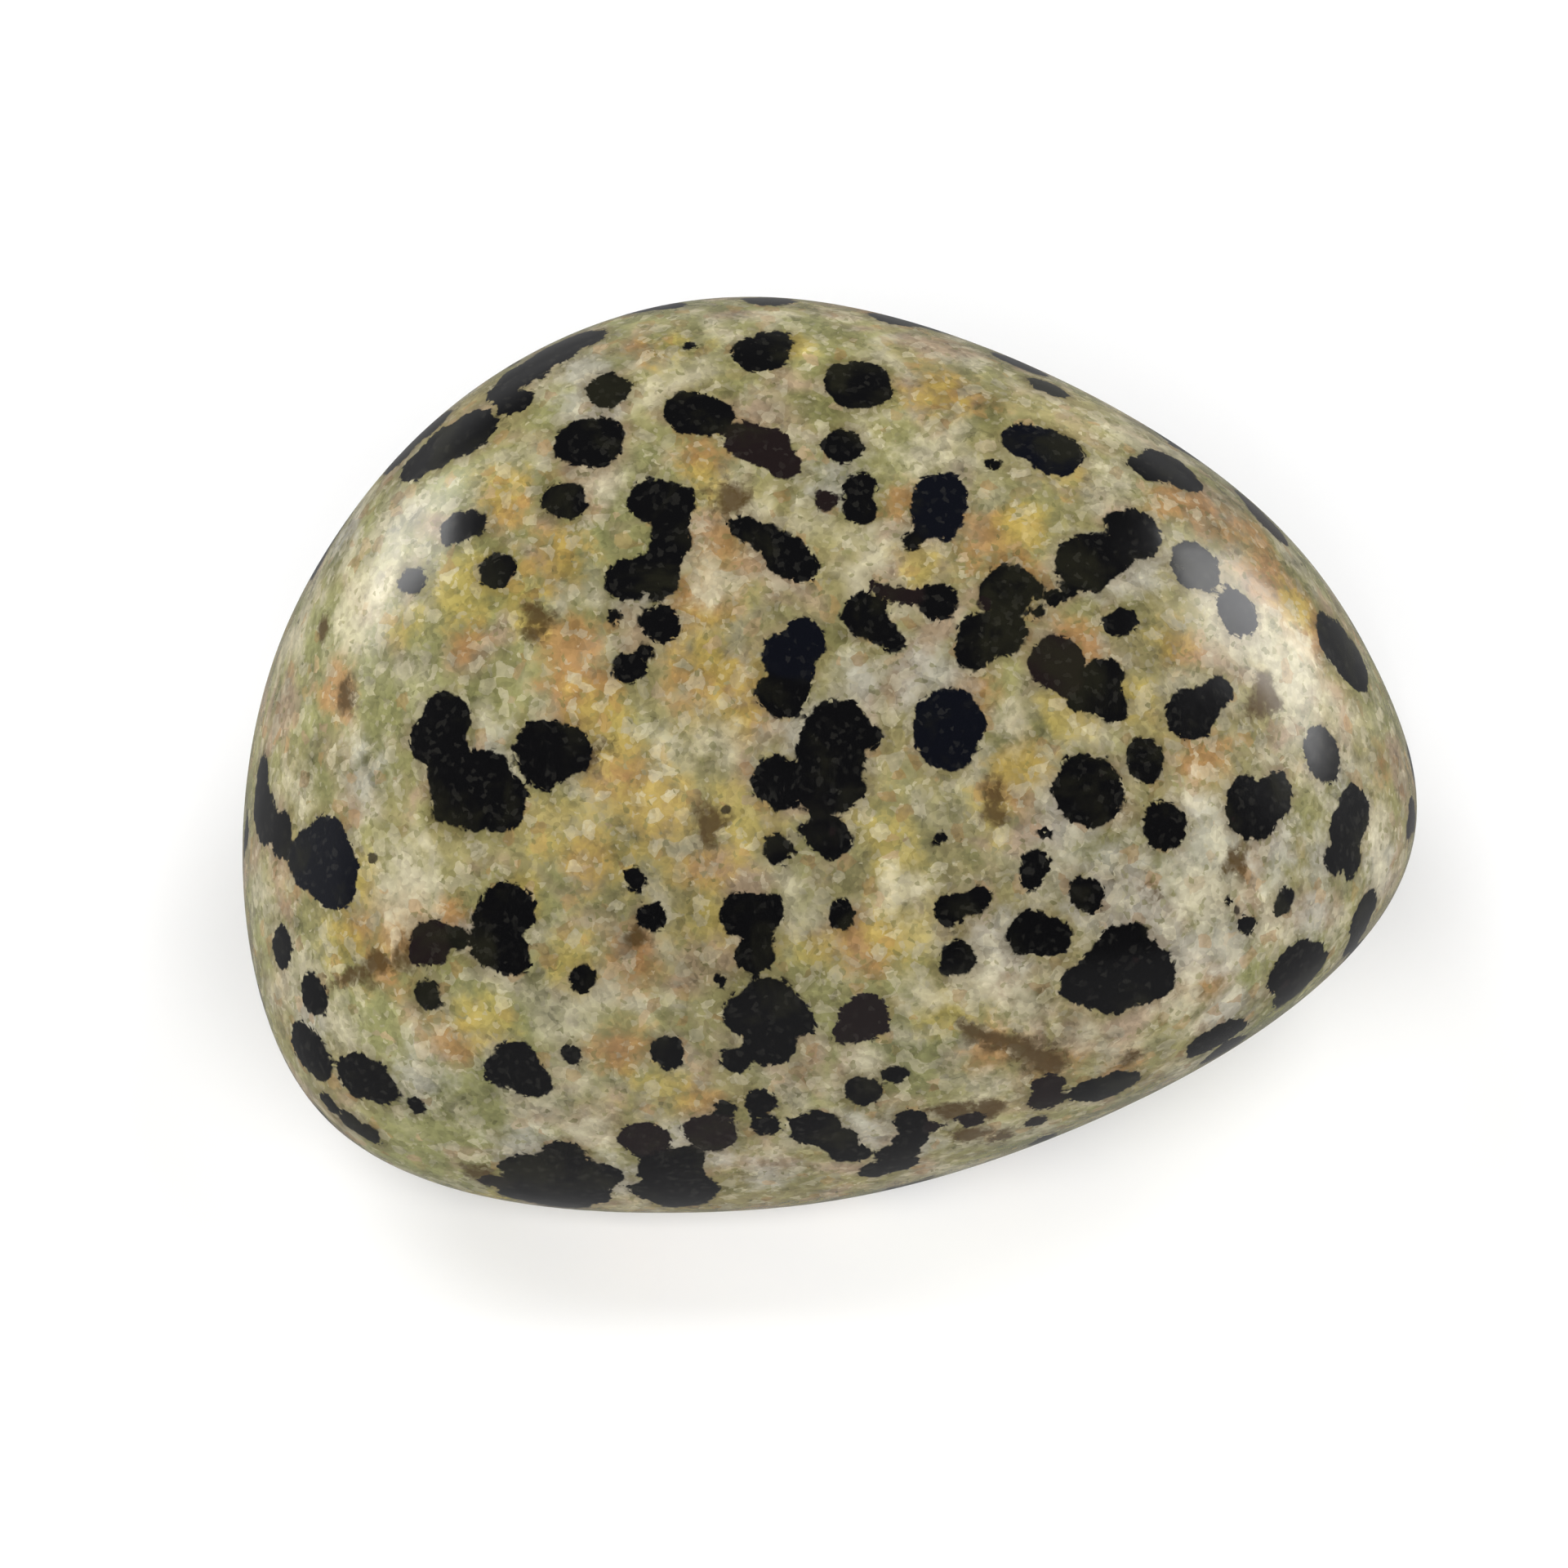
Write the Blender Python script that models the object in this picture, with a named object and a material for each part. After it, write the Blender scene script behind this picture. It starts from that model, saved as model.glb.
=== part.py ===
# Tumbled dalmatian jasper: one polished pebble, lying on a small worn flat.
#
# A tumbled stone is a broken lump whose faces and edges have been ground round.
# It is made here the same way: each broken face is a plane at its own distance
# from the middle of the stone, and the planes are blended where they meet.
# Metres, +Z up. X runs along the stone, Y across it. The viewer stands at -Y.

import math

import bmesh
import bpy
from mathutils import Vector

MM = 0.001

# Driving dimensions, in millimetres
RESTING_DEPTH = 9.3        # middle of the stone to the flat that it rests on
ROUNDING = 8               # how broadly the faces blend: 2 is a ball, 20 is angular
GRID_CELLS = 24            # mesh cells along each edge of the starting cube

# The rim is the broad outline of the stone. It lies in a plane that leans back.
RIM_LEAN = 42.0            # degrees that the plane of the rim leans from upright

# Faces round the rim: angle round it from +X in degrees, distance in mm
RIM_FACES = [
    (8, 16.3),             # blunt right end
    (37, 14.1),            # long slope up from the right end
    (64, 12.0),
    (90, 12.7),            # top
    (128, 14.3),           # upper left shoulder
    (157, 15.0),
    (189, 16.6),           # left end
    (226, 18.6),           # lower left corner
    (264, 13.4),           # underside edge, left of the middle
    (291, 11.8),           # long slope up to the right
    (311, 13.6),
]

# Faces towards the viewer: compass angle from -Y towards +X, height angle, distance
FRONT_FACES = [
    (-8, 38, 11.0),        # broad face that shows most of the spots
    (-55, 30, 14.0),
    (52, 34, 13.6),
    (5, 75, 10.6),
    (0, -4, 12.2),         # low front, turning under
]

# Faces away from the viewer, which are flatter and less even
BACK_FACES = [
    (180, 12, 12.3),
    (140, 40, 13.2),
    (215, 30, 13.4),
    (178, -35, 12.0),
    (120, -25, 16.0),
    (240, -25, 15.0),
]

# Faces round the small flat
UNDER_FACES = [
    (0, -86, 9.9),
    (175, -66, 10.6),
    (78, -62, 11.6),
    (-95, -66, 11.4),
]

# Shallow hollows left where a chip was too deep to wear away:
# compass angle, height angle, depth in mm, half width in mm
HOLLOWS = [
    (168, 20, 0.42, 4.0),
    (98, 6, 0.28, 3.0),
    (-118, 22, 0.32, 3.4),
    (-28, -48, 0.25, 2.8),
    (24, 58, 0.12, 3.0),
]

STONE_COLOUR = (0.30, 0.25, 0.14, 1.0)
STONE_ROUGHNESS = 0.2


def rim_direction(angle):
    """Direction in the leaning plane of the rim."""
    turn = math.radians(angle)
    lean = math.radians(RIM_LEAN)
    return Vector((math.cos(turn), math.sin(turn) * math.sin(lean), math.sin(turn) * math.cos(lean)))


def compass_direction(compass, height):
    """Direction from a compass angle (0 faces the viewer) and a height angle."""
    turn = math.radians(compass)
    rise = math.radians(height)
    return Vector((math.sin(turn) * math.cos(rise), -math.cos(turn) * math.cos(rise), math.sin(rise)))


def worn_faces():
    """Every face of the stone as its outward direction and its distance."""
    faces = [(rim_direction(angle), distance) for angle, distance in RIM_FACES]
    for compass, height, distance in FRONT_FACES + BACK_FACES + UNDER_FACES:
        faces.append((compass_direction(compass, height), distance))
    return faces


def blended_reach(direction, faces):
    """Distance from the middle to the surface, where all the faces are blended."""
    total = sum((max(direction.dot(normal), 0.0) / distance) ** ROUNDING for normal, distance in faces)
    return total ** (-1.0 / ROUNDING)


def hollow_depth(direction, reach):
    """How far the hollows sink the surface at this place."""
    sunk = 0.0
    for compass, height, depth, half_width in HOLLOWS:
        away = (direction - compass_direction(compass, height)).length * reach
        sunk += depth * math.exp(-((away / half_width) ** 2))
    return sunk


def ball_grid():
    """A ball of even square cells, grown from a cube."""
    mesh = bmesh.new()
    bmesh.ops.create_cube(mesh, size=2.0)
    bmesh.ops.subdivide_edges(mesh, edges=mesh.edges[:], cuts=GRID_CELLS - 1, use_grid_fill=True)
    for vertex in mesh.verts:
        vertex.co = Vector([math.tan(part * math.pi / 4.0) for part in vertex.co]).normalized()
    return mesh


def cut_resting_flat(mesh):
    """Cut the underside level and close the cut with one flat face."""
    level = -RESTING_DEPTH * MM
    geometry = mesh.verts[:] + mesh.edges[:] + mesh.faces[:]
    cut = bmesh.ops.bisect_plane(mesh, geom=geometry, dist=1e-7, plane_co=(0.0, 0.0, level),
                                 plane_no=(0.0, 0.0, -1.0), clear_outer=True)
    rim = [item for item in cut["geom_cut"] if isinstance(item, bmesh.types.BMEdge)]
    bmesh.ops.remove_doubles(mesh, verts=list({v for edge in rim for v in edge.verts}), dist=0.12 * MM)
    rim = [edge for edge in mesh.edges if edge.is_boundary]
    bmesh.ops.contextual_create(mesh, geom=rim)


def centre_on_flat(mesh):
    """Put the origin at the middle of the stone's box, on the surface it rests on."""
    xs = [vertex.co.x for vertex in mesh.verts]
    ys = [vertex.co.y for vertex in mesh.verts]
    shift = Vector((-(min(xs) + max(xs)) / 2.0, -(min(ys) + max(ys)) / 2.0, RESTING_DEPTH * MM))
    bmesh.ops.translate(mesh, verts=mesh.verts[:], vec=shift)


def stone_material():
    material = bpy.data.materials.new("polished_jasper")
    material.use_nodes = True
    shader = material.node_tree.nodes["Principled BSDF"]
    shader.inputs["Base Color"].default_value = STONE_COLOUR
    shader.inputs["Roughness"].default_value = STONE_ROUGHNESS
    shader.inputs["Metallic"].default_value = 0.0
    return material


def make_stone():
    faces = worn_faces()
    mesh = ball_grid()
    for vertex in mesh.verts:
        direction = vertex.co.copy()
        reach = blended_reach(direction, faces)
        reach -= hollow_depth(direction, reach)
        vertex.co = direction * reach * MM
    cut_resting_flat(mesh)
    centre_on_flat(mesh)
    bmesh.ops.recalc_face_normals(mesh, faces=mesh.faces[:])
    data = bpy.data.meshes.new("stone")
    mesh.to_mesh(data)
    mesh.free()
    data.shade_smooth()
    data.materials.append(stone_material())
    stone = bpy.data.objects.new("stone", data)
    bpy.context.scene.collection.objects.link(stone)
    return stone


for old in list(bpy.data.objects):
    bpy.data.objects.remove(old, do_unlink=True)

make_stone()
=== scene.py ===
import math
import random

import bmesh
import bpy
import numpy as np
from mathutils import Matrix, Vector
from mathutils.bvhtree import BVHTree


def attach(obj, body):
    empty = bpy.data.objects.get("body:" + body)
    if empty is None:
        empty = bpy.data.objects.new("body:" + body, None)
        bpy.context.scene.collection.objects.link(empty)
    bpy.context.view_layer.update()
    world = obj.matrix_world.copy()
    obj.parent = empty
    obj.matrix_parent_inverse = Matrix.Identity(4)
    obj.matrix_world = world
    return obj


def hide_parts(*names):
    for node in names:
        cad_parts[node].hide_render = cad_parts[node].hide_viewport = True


# Looks of one tumbled dalmatian jasper. Metres, +Z up, the viewer stands at -Y.

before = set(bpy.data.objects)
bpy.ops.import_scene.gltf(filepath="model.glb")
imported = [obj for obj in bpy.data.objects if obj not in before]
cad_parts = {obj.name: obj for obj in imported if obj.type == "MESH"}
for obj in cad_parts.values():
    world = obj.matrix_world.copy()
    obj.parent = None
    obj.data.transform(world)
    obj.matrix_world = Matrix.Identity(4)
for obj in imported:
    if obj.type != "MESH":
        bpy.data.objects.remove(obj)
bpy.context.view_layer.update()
mm = 0.001
print("frame loaded")


# Camera

cameraLook = {
    "height": 42.0,                            # degrees above the horizon
    "distance": 260.0,                         # mm from the stone
    "lens": 234.8,
    "sensor": 36.0,
    "stoneMiddle": (-0.13, -0.14, 9.3),        # mm, the point that the stone's faces are measured from
    "aimRight": -1.04,                         # mm that the view's middle lies right of the stone's middle
    "aimUp": -0.77,                            # mm that it lies above it
    "photoSize": 1920,                         # pixels, the frame that spot places are read in
    "clip": (0.01, 20),                        # m
}


def viewDirections():
    rise = math.radians(cameraLook["height"])
    back = Vector((0, -math.cos(rise), math.sin(rise)))
    up = Vector((0, math.sin(rise), math.cos(rise)))
    return Vector((1, 0, 0)), up, back


def cameraPlace():
    right, up, back = viewDirections()
    aim = Vector(cameraLook["stoneMiddle"]) + right * cameraLook["aimRight"] + up * cameraLook["aimUp"]
    return (aim + back * cameraLook["distance"]) * mm


def makeCamera():
    right, up, back = viewDirections()
    data = bpy.data.cameras.new("photoCamera")
    data.lens = cameraLook["lens"]
    data.sensor_width = cameraLook["sensor"]
    data.clip_start, data.clip_end = cameraLook["clip"]
    camera = bpy.data.objects.new("photoCamera", data)
    camera.location = cameraPlace()
    camera.rotation_mode = "QUATERNION"
    camera.rotation_quaternion = (-back).to_track_quat("-Z", "Y")
    bpy.context.scene.collection.objects.link(camera)
    bpy.context.scene.camera = camera


def rayThrough(across, down):
    right, up, back = viewDirections()
    half = cameraLook["photoSize"] / 2
    perPixel = cameraLook["sensor"] / cameraLook["lens"] / cameraLook["photoSize"]
    return (-back + right * (across - half) * perPixel + up * (half - down) * perPixel).normalized()


makeCamera()
print("camera ready")


# Small helpers for node trees

def addNode(tree, kind, inputs=None, **settings):       # an input is a plain value or another node's socket
    made = tree.nodes.new(kind)
    for name, value in settings.items():
        setattr(made, name, value)
    for name, value in (inputs or {}).items():
        if isinstance(value, bpy.types.NodeSocket):
            tree.links.new(value, made.inputs[name])
        else:
            made.inputs[name].default_value = value
    return made


def mathNode(tree, operation, first, second):
    return addNode(tree, "ShaderNodeMath", {0: first, 1: second}, operation=operation).outputs[0]


def fade(tree, value, start, end, low=0.0, high=1.0):   # eases from low to high between start and end
    made = addNode(tree, "ShaderNodeMapRange", {0: value, 1: start, 2: end, 3: low, 4: high})
    made.interpolation_type = "SMOOTHSTEP"
    return made.outputs[0]


def blendColours(tree, amount, first, second, how="MIX"):
    made = addNode(tree, "ShaderNodeMix", {0: amount, 6: first, 7: second}, data_type="RGBA")
    made.blend_type = how
    return made.outputs[2]


def fieldNoise(tree, place, scale, detail=2.0, roughness=0.5, warp=0.0):
    inputs = {"Vector": place, "Scale": scale, "Detail": detail, "Roughness": roughness, "Distortion": warp}
    return addNode(tree, "ShaderNodeTexNoise", inputs)


def spread(tree, value, amount):               # a noise value, made to swing about nought
    return mathNode(tree, "MULTIPLY", mathNode(tree, "SUBTRACT", value, 0.5), amount)


# The stone's surface

stoneForm = {
    "mergeDistance": 0.001,                    # mm
    "joinAngle": 40,                           # degrees, for turning the solid's triangles back into squares
    "smoothing": 2,                            # subdivision levels over the solid's faces
    "dimpleSpacing": 1.7,                      # mm between the shallow dimples left by tumbling
    "dimpleWidth": (0.35, 0.85),               # mm from a dimple's middle to its edge
    "dimpleDepth": (0.004, 0.016),             # mm
    "dimpleDensity": 3.0e6,                    # points tried for each square metre
    "dimpleSeed": 11,
    "widthSeed": 3,
    "depthSeed": 7,
    "flatMargin": (0.02, 0.5),                 # mm above the table where the dimples begin and are full
    "cloudNoise": (0.16, 3.0, 0.6),            # scale, detail and roughness of the rock's cloudy patches
    "hueNoise": (0.5, 2.5, 0.65, 0.5),         # the same and the distortion, for its changes of hue
}


def smoothCopy(solid):
    mesh = bmesh.new()
    mesh.from_mesh(solid.data)
    bmesh.ops.remove_doubles(mesh, verts=mesh.verts[:], dist=stoneForm["mergeDistance"] * mm)
    angle = math.radians(stoneForm["joinAngle"])
    bmesh.ops.join_triangles(mesh, faces=mesh.faces[:], angle_face_threshold=angle,
                             angle_shape_threshold=angle)
    bmesh.ops.recalc_face_normals(mesh, faces=mesh.faces[:])
    data = bpy.data.meshes.new("tumbledStone")
    mesh.to_mesh(data)
    mesh.free()
    data.shade_smooth()
    stone = bpy.data.objects.new("tumbledStone", data)
    bpy.context.scene.collection.objects.link(stone)
    smooth = stone.modifiers.new("smooth", "SUBSURF")
    smooth.levels = stoneForm["smoothing"]
    smooth.render_levels = stoneForm["smoothing"]
    return stone


def dimpleTree(material):
    tree = bpy.data.node_groups.new("tumblingDimples", "GeometryNodeTree")
    face = tree.interface
    face.new_socket("Stone", in_out="INPUT", socket_type="NodeSocketGeometry")
    for name in ("Spacing", "Least Width", "Most Width", "Least Depth", "Most Depth"):
        face.new_socket(name, in_out="INPUT", socket_type="NodeSocketFloat")
    face.new_socket("Seed", in_out="INPUT", socket_type="NodeSocketInt")
    face.new_socket("Stone", in_out="OUTPUT", socket_type="NodeSocketGeometry")
    given = addNode(tree, "NodeGroupInput").outputs
    scatter = addNode(tree, "GeometryNodeDistributePointsOnFaces", {
        "Mesh": given["Stone"], "Distance Min": given["Spacing"],
        "Density Max": stoneForm["dimpleDensity"], "Seed": given["Seed"],
    }, distribute_method="POISSON")
    width = addNode(tree, "FunctionNodeRandomValue", {
        2: given["Least Width"], 3: given["Most Width"], "Seed": stoneForm["widthSeed"]}, data_type="FLOAT")
    depth = addNode(tree, "FunctionNodeRandomValue", {
        2: given["Least Depth"], 3: given["Most Depth"], "Seed": stoneForm["depthSeed"]}, data_type="FLOAT")
    points = scatter.outputs["Points"]
    place = addNode(tree, "GeometryNodeInputPosition").outputs[0]
    nearest = addNode(tree, "GeometryNodeSampleNearest", {"Geometry": points, "Sample Position": place},
                      domain="POINT").outputs[0]

    def atNearest(value, kind):
        sample = addNode(tree, "GeometryNodeSampleIndex", {"Geometry": points, "Index": nearest},
                         data_type=kind, domain="POINT")
        tree.links.new(value, sample.inputs["Value"])
        return sample.outputs[0]

    middle = atNearest(place, "FLOAT_VECTOR")
    away = addNode(tree, "ShaderNodeVectorMath", {0: place, 1: middle},
                   operation="DISTANCE").outputs["Value"]
    share = mathNode(tree, "DIVIDE", away, atNearest(width.outputs[1], "FLOAT"))
    fall = fade(tree, share, 0.0, 1.0, 1.0, 0.0)
    sink = mathNode(tree, "MULTIPLY", fall, atNearest(depth.outputs[1], "FLOAT"))
    height = addNode(tree, "ShaderNodeSeparateXYZ", {0: place}).outputs[2]
    none, full = stoneForm["flatMargin"]
    sink = mathNode(tree, "MULTIPLY", sink, fade(tree, height, none * mm, full * mm))
    normal = addNode(tree, "GeometryNodeInputNormal").outputs[0]
    offset = addNode(tree, "ShaderNodeVectorMath", {0: normal, 3: mathNode(tree, "MULTIPLY", sink, -1.0)},
                     operation="SCALE").outputs[0]
    moved = addNode(tree, "GeometryNodeSetPosition",
                    {"Geometry": given["Stone"], "Offset": offset}).outputs[0]

    # Fields for the rock's colour, kept on the mesh
    rockPlace = addNode(tree, "ShaderNodeVectorMath", {0: place, 3: 1 / mm}, operation="SCALE").outputs[0]
    cloud = fieldNoise(tree, rockPlace, *stoneForm["cloudNoise"]).outputs["Fac"]
    hue = fieldNoise(tree, rockPlace, *stoneForm["hueNoise"]).outputs["Color"]
    clouded = addNode(tree, "GeometryNodeStoreNamedAttribute", {"Geometry": moved, "Name": "rockCloud"},
                      data_type="FLOAT", domain="POINT")
    tree.links.new(cloud, clouded.inputs["Value"])
    tinted = addNode(tree, "GeometryNodeStoreNamedAttribute",
                     {"Geometry": clouded.outputs[0], "Name": "rockHues"},
                     data_type="FLOAT_VECTOR", domain="POINT")
    tree.links.new(hue, tinted.inputs["Value"])
    real = addNode(tree, "GeometryNodeRealizeInstances", {"Geometry": tinted.outputs[0]})
    painted = addNode(tree, "GeometryNodeSetMaterial", {"Geometry": real.outputs[0], "Material": material})
    addNode(tree, "NodeGroupOutput", {"Stone": painted.outputs[0]})
    return tree


def setInput(modifier, name, value):
    for item in modifier.node_group.interface.items_tree:
        if item.item_type == "SOCKET" and item.in_out == "INPUT" and item.name == name:
            modifier[item.identifier] = value


def wornStone(material):
    stone = smoothCopy(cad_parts["stone"])
    wear = stone.modifiers.new("dimples", "NODES")
    wear.node_group = dimpleTree(material)
    setInput(wear, "Spacing", stoneForm["dimpleSpacing"] * mm)
    for name in ("Width", "Depth"):
        least, most = stoneForm["dimple" + name]
        setInput(wear, "Least " + name, least * mm)
        setInput(wear, "Most " + name, most * mm)
    setInput(wear, "Seed", stoneForm["dimpleSeed"])
    graph = bpy.context.evaluated_depsgraph_get()
    finished = bpy.data.meshes.new_from_object(stone.evaluated_get(graph))
    stone.modifiers.clear()
    stone.data = finished
    finished.name = "tumbledStone"
    finished.shade_smooth()
    return stone


# Spots. The mineral grows as small balls through the whole rock, and the polished
# surface cuts them. Each entry is a ball: photo pixels across and down, width in mm.
# A lobed spot is two or more balls that touch.

blackSpots = [
    # top edge
    (928, 434, 1.3), (946, 418, 1.1), (1052, 471, 1.65), (1036, 462, 1.1), (745, 476, 1.1),
    (841, 503, 1.3), (868, 508, 1.25), (712, 543, 1.45), (735, 540, 1.3), (1031, 547, 1.05),
    (1284, 475, 1.0), (1422, 570, 1.35), (1442, 577, 1.4), (1404, 574, 0.9), (845, 424, 0.35),
    (1220, 569, 0.4),
    # upper left shoulder
    (620, 476, 1.1), (645, 454, 1.5), (676, 433, 1.5), (704, 418, 1.2), (725, 412, 0.8),
    (630, 492, 0.85), (566, 531, 1.7), (540, 546, 1.6), (516, 564, 1.3), (688, 612, 1.1),
    (556, 646, 0.75), (580, 643, 0.75), (608, 700, 0.95), (505, 710, 0.85),
    # chain left of the middle
    (799, 611, 1.2), (823, 617, 1.2), (820, 650, 1.1), (817, 673, 1.05), (802, 697, 1.1),
    (769, 707, 1.1), (808, 712, 0.95), (810, 765, 0.95), (790, 796, 0.4), (771, 818, 0.75),
    (750, 753, 0.4),
    # upper middle
    (1052, 598, 0.9), (1052, 622, 0.85), (1118, 665, 0.5), (910, 647, 0.75), (934, 656, 0.8),
    (965, 680, 1.15), (984, 692, 0.75),
    # upper right
    (1330, 692, 1.5), (1350, 680, 1.3), (1390, 652, 1.5), (1272, 746, 0.4), (1290, 735, 0.45),
    (1307, 728, 0.4), (1466, 694, 1.4), (1237, 721, 1.42), (1200, 781, 1.2), (1232, 776, 1.15),
    (1190, 799, 0.9), (1149, 735, 1.0), (1058, 751, 1.15), (1076, 768, 0.85), (1094, 785, 0.6),
    (1372, 762, 0.75), (1348, 832, 1.1), (1353, 858, 1.15), (1318, 858, 0.7), (1633, 784, 1.5),
    (1646, 797, 1.75), (1660, 814, 1.5), (1455, 874, 1.3), (1475, 860, 0.9), (1492, 844, 0.75),
    # middle
    (962, 846, 1.3), (1025, 893, 1.6), (1018, 930, 1.7), (1008, 960, 1.5), (953, 960, 1.35),
    (1034, 962, 1.1), (1066, 904, 0.55), (952, 1038, 0.8), (975, 1045, 0.3), (1005, 1022, 0.9),
    (1024, 1030, 0.9), (777, 1075, 0.65), (802, 1123, 0.65), (1152, 1027, 0.3), (1280, 1018, 0.4),
    # right
    (1403, 929, 1.05), (1424, 1013, 1.12), (1616, 916, 1.2), (1624, 928, 1.25), (1333, 966, 1.75),
    (1343, 984, 1.35), (1530, 990, 1.5), (1560, 975, 1.2), (1545, 1005, 1.0), (1659, 992, 1.35),
    (1648, 1020, 1.25), (1636, 1052, 0.8), (1656, 1052, 0.8), (1669, 1122, 1.3), (1660, 1150, 1.1),
    (1581, 1186, 1.5), (1599, 1190, 1.6), (1582, 1211, 1.3), (1480, 1277, 1.15), (1496, 1268, 1.2),
    (1512, 1260, 0.8), (1573, 1103, 0.68), (1566, 1112, 0.45), (1528, 1130, 0.5), (1505, 1104, 0.3),
    # lower right
    (1268, 1059, 0.66), (1262, 1076, 0.5), (1330, 1093, 0.9), (1162, 1114, 0.75), (1200, 1100, 0.7),
    (1182, 1107, 0.55), (1174, 1175, 0.97), (1261, 1142, 1.08), (1284, 1148, 1.1), (1380, 1177, 1.8),
    (1365, 1205, 1.7), (1405, 1195, 1.5), (1322, 1208, 1.1), (1345, 1188, 1.1), (1338, 1336, 1.05),
    (1356, 1332, 1.4), (1374, 1326, 1.05),
    # big cluster on the left
    (530, 905, 1.4), (545, 885, 1.45), (550, 935, 1.3), (578, 945, 1.0), (560, 972, 1.6),
    (598, 955, 1.4), (612, 980, 1.5), (582, 993, 1.2), (663, 918, 1.5), (694, 920, 1.2),
    (668, 936, 1.1),
    # left end
    (321, 951, 1.1), (318, 985, 1.2), (326, 1000, 1.4), (343, 1020, 1.2), (294, 1060, 0.8),
    (345, 1157, 1.0), (384, 1218, 1.08), (376, 1284, 1.4), (388, 1300, 1.15), (438, 1318, 1.3),
    (464, 1330, 1.1), (404, 1352, 0.7), (428, 1374, 0.75), (454, 1390, 0.7), (512, 1352, 0.5),
    # lower left
    (625, 1109, 1.28), (612, 1130, 1.3), (600, 1156, 1.15), (622, 1164, 1.25), (522, 1219, 0.8),
    (560, 1150, 0.5), (715, 1202, 0.6), (613, 1312, 0.9), (633, 1298, 1.15), (651, 1323, 1.02),
    (700, 1292, 0.45), (815, 1291, 0.9),
    # lower middle
    (912, 1120, 1.1), (937, 1118, 0.92), (926, 1146, 0.8), (924, 1168, 0.95), (945, 1231, 1.48),
    (912, 1240, 1.2), (972, 1248, 1.2), (939, 1277, 1.38), (903, 1296, 0.8), (882, 1201, 0.3),
    (1032, 1117, 0.73), (1055, 1337, 0.95), (1095, 1316, 0.6),
    # bottom edge
    (655, 1438, 1.8), (700, 1445, 1.8), (736, 1440, 1.05), (690, 1418, 1.2), (648, 1462, 1.4),
    (680, 1468, 2.0), (712, 1463, 1.5), (822, 1432, 1.8), (845, 1452, 1.4), (806, 1456, 1.3),
    (842, 1416, 0.9), (834, 1466, 1.6), (1076, 1432, 0.9), (1100, 1426, 1.0), (933, 1352, 0.85),
    (940, 1377, 0.8), (886, 1356, 0.5), (1000, 1382, 1.3), (1024, 1398, 1.1), (1042, 1412, 0.8),
    (965, 1371, 0.4), (1114, 1374, 0.9), (1116, 1396, 0.95), (1098, 1412, 1.0),
]

blueBlackSpots = [
    (1261, 541, 1.25), (1290, 555, 1.4), (1152, 608, 1.35), (1148, 632, 1.3), (1515, 750, 1.15),
    (980, 786, 1.2), (958, 800, 1.1), (968, 822, 1.1), (1163, 889, 1.8), (1165, 911, 1.3),
    (400, 1046, 1.85), (406, 1072, 1.8), (376, 1052, 1.5),
]

brownBlackSpots = [
    (912, 538, 1.1), (935, 548, 1.2), (962, 570, 0.9), (1012, 612, 0.6), (1293, 812, 1.45),
    (1308, 842, 0.8), (525, 1155, 1.05), (512, 1168, 0.5), (1060, 1247, 1.25), (1038, 1268, 0.65),
    (790, 1396, 1.3), (870, 1388, 1.35), (1283, 1328, 0.8), (1280, 1346, 0.9), (1268, 1374, 0.5),
    (1142, 1380, 0.5), (1188, 1372, 0.75), (1072, 718, 0.42), (1090, 724, 0.45), (1108, 727, 0.45),
    (1126, 730, 0.45), (608, 1446, 0.85),
]

brownSpots = [
    (1548, 850, 0.9), (1540, 868, 0.6), (425, 855, 0.8), (395, 768, 0.5), (866, 1010, 0.8),
    (657, 763, 0.8), (1217, 970, 0.6), (1217, 994, 0.5), (782, 1150, 0.4), (1390, 1290, 0.7),
    (895, 611, 0.95), (1513, 1053, 0.6), (1410, 1093, 0.45), (590, 1438, 0.9), (1172, 1362, 0.8),
    (1206, 1360, 0.9), (1184, 1388, 0.8), (1226, 1392, 0.6), (1282, 1304, 0.75),
]

# Thin brown veins, as paths of such places
brownVeins = [
    [(404, 1200, 0.25), (430, 1195, 0.3), (458, 1184, 0.35), (482, 1174, 0.45), (500, 1164, 0.55)],
    [(1186, 1260, 0.4), (1208, 1270, 0.5), (1230, 1276, 0.5), (1252, 1282, 0.6), (1272, 1294, 0.8),
     (1288, 1296, 0.65)],
    [(690, 925, 0.4), (722, 930, 0.5), (742, 915, 0.35)],
    [(1145, 1362, 0.4), (1190, 1352, 0.5), (1225, 1356, 0.4)],
]

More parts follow.
